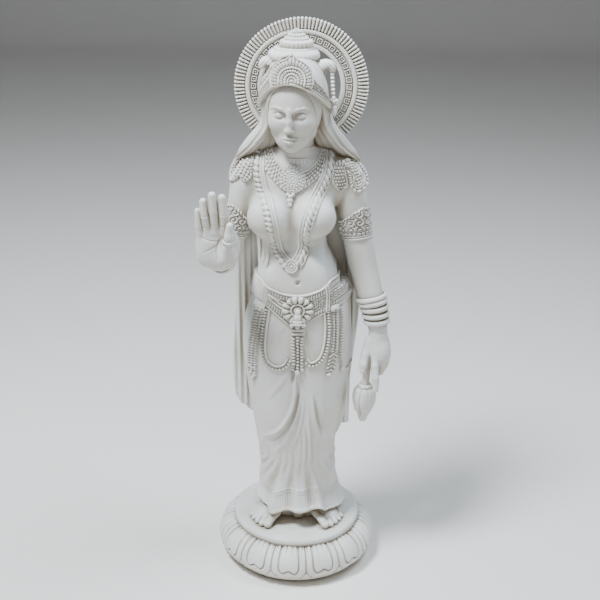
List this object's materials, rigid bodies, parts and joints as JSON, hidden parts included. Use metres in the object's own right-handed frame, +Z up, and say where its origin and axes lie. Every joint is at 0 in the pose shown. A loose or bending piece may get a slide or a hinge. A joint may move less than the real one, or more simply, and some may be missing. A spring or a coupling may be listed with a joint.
{
  "type": "hindu deity statue",
  "caption": "Standing goddess figure in off-white cast marble: one palm raised, a lotus bud in the other hand, a round halo behind the crown, on a round lotus base.",
  "frame": {"origin": "centre of the base's underside, on the table", "axes": "+Z up, the figure faces -Y, +X to the figure's left (the hand with the lotus bud)"},
  "size_m": [0.1536, 0.1358, 0.457],
  "materials": {
    "marble": "cast marble dust, off-white, satin, with a warm tone in the hollows",
    "carved_marble": "the same cast marble, crisp raised relief, slightly lighter",
    "steel": "plain drawn rod, hidden inside the castings"
  },
  "bodies": {
    "root": {"lotus_base": "marble", "plinth_disc": "marble", "armature_rod": "steel", "foot_right": "marble", "foot_left": "marble", "neck_dowel": "steel", "arm_dowel_right": "steel", "arm_dowel_left": "steel", "halo_dowel": "steel", "skirt": "marble", "torso": "marble", "head": "marble", "arm_right": "marble", "arm_left": "marble", "hand_right": "marble", "bud_stem": "marble", "thumb_ring_right": "carved_marble", "bangle_right_1": "carved_marble", "bangle_right_2": "carved_marble", "bangle_right_3": "carved_marble", "bangle_left_1": "carved_marble", "bangle_left_2": "carved_marble", "bangle_left_3": "carved_marble", "bangle_left_4": "carved_marble", "bangle_left_5": "carved_marble", "bud_calyx": "carved_marble", "lotus_bud": "marble", "hand_left": "marble", "long_necklace": "carved_marble", "necklace_medallion": "carved_marble", "collar": "carved_marble", "collar_pendant": "carved_marble", "choker": "carved_marble", "armlet_right": "carved_marble", "armlet_left": "carved_marble", "shoulder_ornament_right": "carved_marble", "shoulder_ornament_left": "carved_marble", "belt": "carved_marble", "belt_clasp": "carved_marble", "centre_tassel": "carved_marble", "side_tassel_right": "carved_marble", "side_tassel_left": "carved_marble", "hip_string_left": "carved_marble", "swag_right": "carved_marble", "swag_left": "carved_marble", "hair": "marble", "crown_dome": "marble", "crown_band": "carved_marble", "crown_plaque": "carved_marble", "topknot_ring": "carved_marble", "topknot_finial": "carved_marble", "crown_wing_right": "carved_marble", "crown_wing_left": "carved_marble", "crown_pendant_right": "carved_marble", "crown_pendant_left": "carved_marble", "veil": "marble", "back_drape": "marble", "halo_ring": "carved_marble"}
  },
  "joints": []
}
